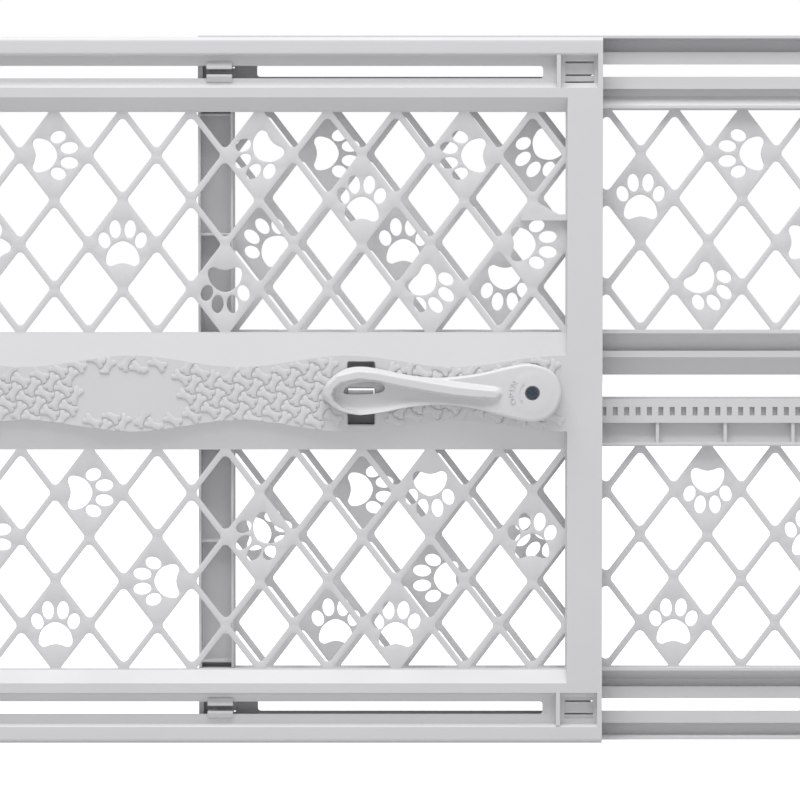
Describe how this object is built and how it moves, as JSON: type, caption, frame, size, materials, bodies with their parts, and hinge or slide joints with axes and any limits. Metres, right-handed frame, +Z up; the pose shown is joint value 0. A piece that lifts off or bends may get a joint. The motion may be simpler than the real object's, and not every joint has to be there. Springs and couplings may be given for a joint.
{
  "type": "pet gate",
  "caption": "Expandable pressure-mount pet gate: sliding lattice panels of moulded plastic with paw cut-outs, locked by a lever and a toothed rack, with rubber end pads.",
  "frame": {"origin": "middle of the whole gate's base, with the gate at its rest width", "axes": "+X along the gate, from the lever panel's outer end to the ribbed panel's; +Y from the lever side to the back; +Z up"},
  "size_m": [0.832, 0.0626, 0.5869],
  "materials": {
    "panel_plastic": "moulded, fine satin",
    "lever_plastic": "moulded, smooth satin",
    "lock_plastic": "moulded, plain",
    "bumper_rubber": "soft matte",
    "screw_steel": "zinc plated, blued"
  },
  "bodies": {
    "front_panel": {"front_top_rail": "panel_plastic", "front_bottom_rail": "panel_plastic", "front_top_hook": "panel_plastic", "front_bottom_hook": "panel_plastic", "front_top_bumper": "bumper_rubber", "front_bottom_bumper": "bumper_rubber", "front_upper_mesh": "panel_plastic", "front_lower_mesh": "panel_plastic", "front_inner_post": "panel_plastic", "front_outer_post": "panel_plastic", "front_centre_beam": "panel_plastic"},
    "rear_panel": {"rear_top_rail": "panel_plastic", "rear_bottom_rail": "panel_plastic", "rear_top_hook": "panel_plastic", "rear_bottom_hook": "panel_plastic", "rear_top_bumper": "bumper_rubber", "rear_bottom_bumper": "bumper_rubber", "rear_upper_mesh": "panel_plastic", "rear_lower_mesh": "panel_plastic", "rear_inner_post": "panel_plastic", "rear_outer_post": "panel_plastic", "rear_centre_beam": "panel_plastic", "rear_rack": "panel_plastic"},
    "lever": {"lever": "lever_plastic", "lock_cam": "lock_plastic", "pivot_screw": "screw_steel", "spacer_sleeve": "lock_plastic", "clamp_washer": "lock_plastic", "lock_nut": "screw_steel"},
    "lock_dog": {"lock_dog": "lock_plastic"}
  },
  "joints": [
    {"name": "panel_slide", "type": "slide", "parent": "front_panel", "child": "rear_panel", "axis": [1, 0, 0], "range_m": [-0.17145, 0.2286]},
    {"name": "lever_swing", "type": "hinge", "parent": "front_panel", "child": "lever", "pos_m": [0.1091, 0, 0.2905], "axis": [0, 1, 0], "range_deg": [0, 90]},
    {"name": "dog_slide", "type": "slide", "parent": "front_panel", "child": "lock_dog", "axis": [0, -1, 0], "range_m": [0, 0.005]}
  ],
  "couplings": [
    {"joint": "dog_slide", "follows": "lever_swing", "m_per_rad": 0.00318}
  ]
}
